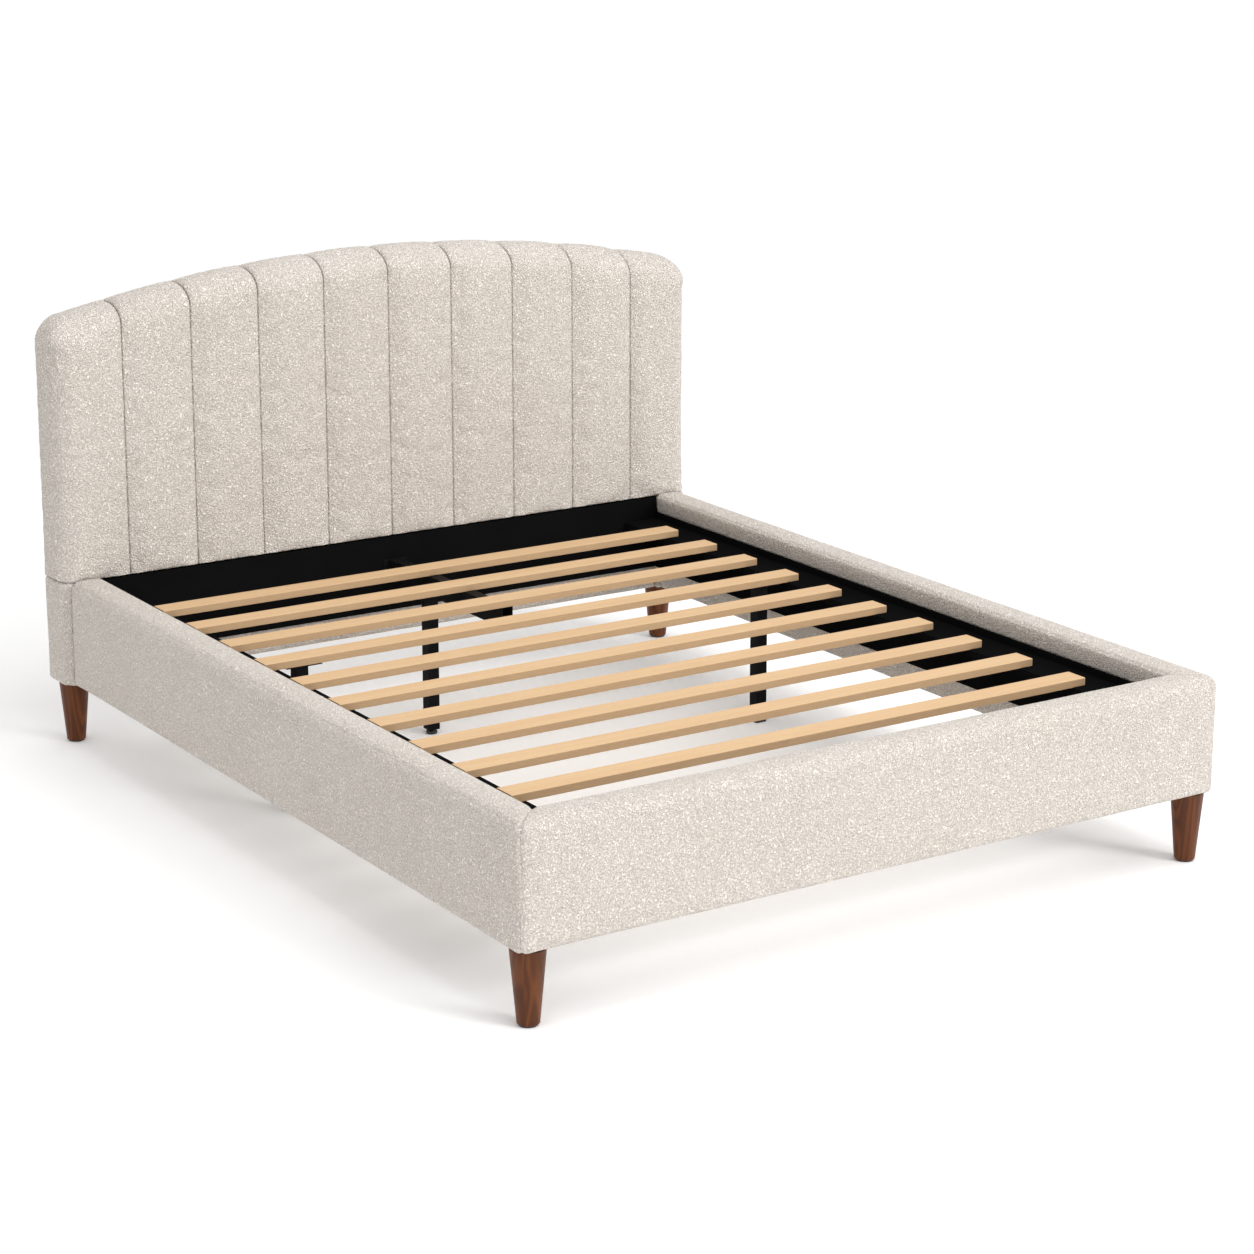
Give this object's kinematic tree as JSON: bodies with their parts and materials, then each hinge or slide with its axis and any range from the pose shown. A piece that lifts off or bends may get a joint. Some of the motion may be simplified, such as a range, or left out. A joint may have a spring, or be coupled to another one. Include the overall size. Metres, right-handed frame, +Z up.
{
  "type": "upholstered bed frame",
  "caption": "Upholstered double bed frame with an arched, vertically channelled headboard, padded rails, open slat deck, black support legs and tapered round wooden legs.",
  "frame": {"origin": "on the floor under the middle of the bed's overall length and width", "axes": "+Z up, +Y towards the headboard, +X to the right as seen from the foot"},
  "size_m": [1.82, 2.216, 1.156],
  "materials": {
    "boucle": "oatmeal looped fabric",
    "foam": "open-cell upholstery foam",
    "slat_wood": "pale wood, planed",
    "leg_wood": "walnut stain, satin",
    "black_board": "black board, matt",
    "plywood": "raw plywood",
    "frame_timber": "sawn softwood",
    "black_metal": "black powder coat",
    "black_plastic": "matt black plastic",
    "foot_metal": "black oxide steel",
    "zinc_steel": "zinc-plated steel"
  },
  "bodies": {
    "frame": {"barrel_nuts": "zinc_steel", "beam_bracket": "black_metal", "bed_bolts": "zinc_steel", "centre_beam": "black_metal", "centre_support_leg": "black_metal", "channel_pad_01": "boucle", "channel_pad_02": "boucle", "channel_pad_03": "boucle", "channel_pad_04": "boucle", "channel_pad_05": "boucle", "channel_pad_06": "boucle", "channel_pad_07": "boucle", "channel_pad_08": "boucle", "channel_pad_09": "boucle", "channel_pad_10": "boucle", "corner_bolts": "zinc_steel", "corner_brackets": "zinc_steel", "foot_lining": "black_board", "foot_rail_core": "frame_timber", "foot_rail_cover": "boucle", "hanger_bolts": "zinc_steel", "head_cross_board": "black_board", "headboard_back_cover": "boucle", "headboard_blocks": "frame_timber", "headboard_lower_cover": "boucle", "headboard_lower_foam": "foam", "headboard_panel": "plywood", "headboard_posts": "frame_timber", "headboard_rails": "frame_timber", "ledge_cleats": "black_board", "leg_foot_left": "leg_wood", "leg_foot_right": "leg_wood", "leg_glides": "black_plastic", "leg_head_left": "leg_wood", "leg_head_right": "leg_wood", "outer_leg_caps": "black_plastic", "outer_support_legs": "black_metal", "rail_foam": "foam", "side_lining_left": "black_board", "side_lining_right": "black_board", "side_rail_core_left": "frame_timber", "side_rail_core_right": "frame_timber", "side_rail_cover_left": "boucle", "side_rail_cover_right": "boucle", "slat_01": "slat_wood", "slat_02": "slat_wood", "slat_03": "slat_wood", "slat_04": "slat_wood", "slat_05": "slat_wood", "slat_06": "slat_wood", "slat_07": "slat_wood", "slat_08": "slat_wood", "slat_09": "slat_wood", "slat_10": "slat_wood", "slat_ledge_left": "black_board", "slat_ledge_right": "black_board", "slat_screws": "zinc_steel", "support_leg_bolts": "zinc_steel"},
    "foot": {"levelling_foot": "foot_metal"}
  },
  "joints": [
    {"name": "foot_screw", "type": "slide", "parent": "frame", "child": "foot", "axis": [0, 0, 1], "range_m": [-0.015, 0.003]}
  ]
}
